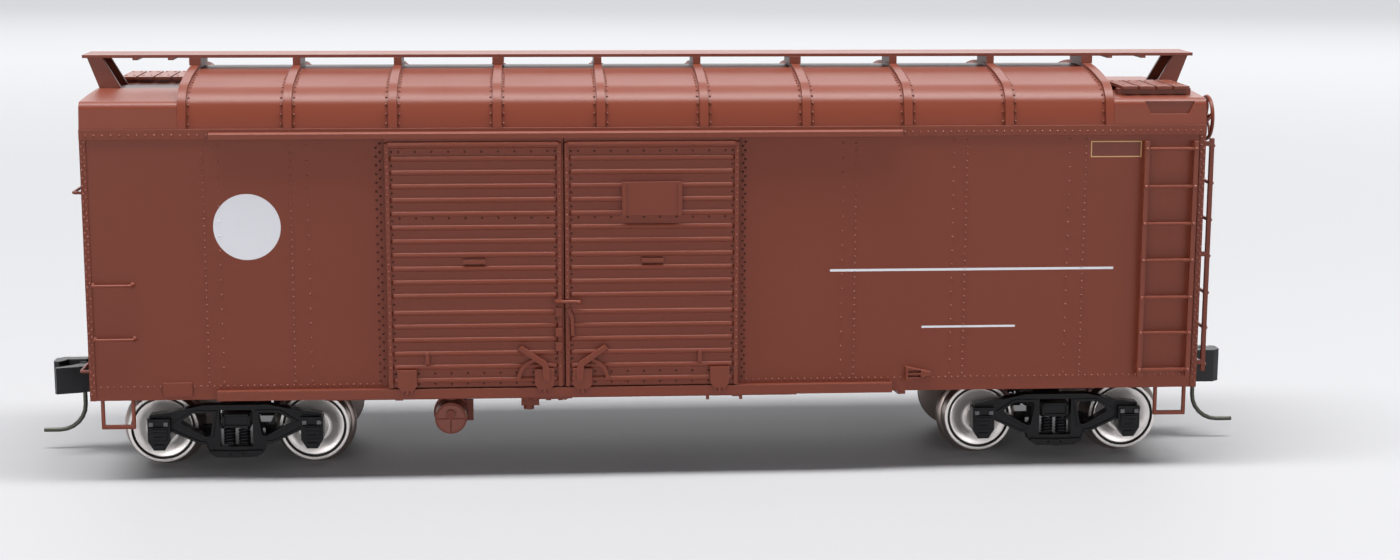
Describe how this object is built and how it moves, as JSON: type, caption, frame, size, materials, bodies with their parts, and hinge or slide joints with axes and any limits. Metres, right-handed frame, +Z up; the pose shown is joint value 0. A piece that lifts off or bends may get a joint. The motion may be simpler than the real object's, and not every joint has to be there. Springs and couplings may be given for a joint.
{
  "type": "model railroad boxcar",
  "caption": "Scale model boxcar with sliding double doors, arched ribbed roof with running board, ladders, knuckle couplers and swivelling trucks with rolling wheelsets.",
  "frame": {"origin": "centre of the car on the plane that its wheel flanges stand on", "axes": "+X along the car towards the hand brake end, +Y to the far side, +Z up"},
  "size_m": [0.1646, 0.0376, 0.0542],
  "materials": {
    "body_paint": "satin freight-car red",
    "truck_plastic": "satin black",
    "wheel_metal": "turned and plated",
    "axle_steel": "turned",
    "coupler_metal": "blackened casting",
    "pin_steel": "darkened wire",
    "weight_steel": "plain sheet"
  },
  "bodies": {
    "car_body": {"side_wall_near": "body_paint", "side_wall_far": "body_paint", "end_wall_a": "body_paint", "end_wall_b": "body_paint", "raised_roof": "body_paint", "end_roofs": "body_paint", "floor": "body_paint", "weight": "weight_steel", "underframe": "body_paint", "upper_door_tracks": "body_paint", "lower_door_tracks": "body_paint", "running_board": "body_paint", "running_board_supports": "body_paint", "corner_platforms": "body_paint", "side_ladders": "body_paint", "end_ladders": "body_paint", "grab_irons": "body_paint", "stirrup_steps": "body_paint", "brake_wheel": "body_paint", "brake_housing": "body_paint", "air_reservoir": "body_paint", "control_valve": "body_paint", "brake_cylinder": "body_paint", "brake_rods": "body_paint", "coupler_boxes": "body_paint", "kingpins": "pin_steel"},
    "truck_a": {"truck_a_side_frames": "truck_plastic", "truck_a_bolster": "truck_plastic", "truck_a_springs": "truck_plastic", "truck_a_brake_beams": "truck_plastic"},
    "wheelset_a1": {"wheels_a1": "wheel_metal", "axle_a1": "axle_steel"},
    "wheelset_a2": {"wheels_a2": "wheel_metal", "axle_a2": "axle_steel"},
    "coupler_a": {"coupler_a": "coupler_metal", "trip_pin_a": "pin_steel"},
    "truck_b": {"truck_b_side_frames": "truck_plastic", "truck_b_bolster": "truck_plastic", "truck_b_springs": "truck_plastic", "truck_b_brake_beams": "truck_plastic"},
    "wheelset_b1": {"wheels_b1": "wheel_metal", "axle_b1": "axle_steel"},
    "wheelset_b2": {"wheels_b2": "wheel_metal", "axle_b2": "axle_steel"},
    "coupler_b": {"coupler_b": "coupler_metal", "trip_pin_b": "pin_steel"},
    "door_near_left": {"door_near_left": "body_paint"},
    "door_near_right": {"door_near_right": "body_paint"},
    "door_far_left": {"door_far_left": "body_paint"},
    "door_far_right": {"door_far_right": "body_paint"}
  },
  "joints": [
    {"name": "truck_a_swivel", "type": "hinge", "parent": "car_body", "child": "truck_a", "pos_m": [-0.0545, 0, 0.0089], "axis": [0, 0, -1], "range_deg": [-10, 10]},
    {"name": "wheelset_a1_roll", "type": "hinge", "parent": "truck_a", "child": "wheelset_a1", "pos_m": [-0.0644, 0, 0.0054], "axis": [0, 1, 0], "continuous": true},
    {"name": "wheelset_a2_roll", "type": "hinge", "parent": "truck_a", "child": "wheelset_a2", "pos_m": [-0.0446, 0, 0.0054], "axis": [0, 1, 0], "continuous": true},
    {"name": "coupler_a_swing", "type": "hinge", "parent": "car_body", "child": "coupler_a", "pos_m": [-0.067, 0, 0.01045], "axis": [0, 0, -1], "range_deg": [-12, 12], "stiffness_Nm_per_rad": 0.0001},
    {"name": "truck_b_swivel", "type": "hinge", "parent": "car_body", "child": "truck_b", "pos_m": [0.0545, 0, 0.0089], "axis": [0, 0, 1], "range_deg": [-10, 10]},
    {"name": "wheelset_b1_roll", "type": "hinge", "parent": "truck_b", "child": "wheelset_b1", "pos_m": [0.0446, 0, 0.0054], "axis": [0, 1, 0], "continuous": true},
    {"name": "wheelset_b2_roll", "type": "hinge", "parent": "truck_b", "child": "wheelset_b2", "pos_m": [0.0644, 0, 0.0054], "axis": [0, 1, 0], "continuous": true},
    {"name": "coupler_b_swing", "type": "hinge", "parent": "car_body", "child": "coupler_b", "pos_m": [0.067, 0, 0.01045], "axis": [0, 0, 1], "range_deg": [-12, 12], "stiffness_Nm_per_rad": 0.0001},
    {"name": "door_near_left_slide", "type": "slide", "parent": "car_body", "child": "door_near_left", "axis": [-1, 0, 0], "range_m": [0, 0.021]},
    {"name": "door_near_right_slide", "type": "slide", "parent": "car_body", "child": "door_near_right", "axis": [1, 0, 0], "range_m": [0, 0.021]},
    {"name": "door_far_left_slide", "type": "slide", "parent": "car_body", "child": "door_far_left", "axis": [1, 0, 0], "range_m": [0, 0.021]},
    {"name": "door_far_right_slide", "type": "slide", "parent": "car_body", "child": "door_far_right", "axis": [-1, 0, 0], "range_m": [0, 0.021]}
  ]
}
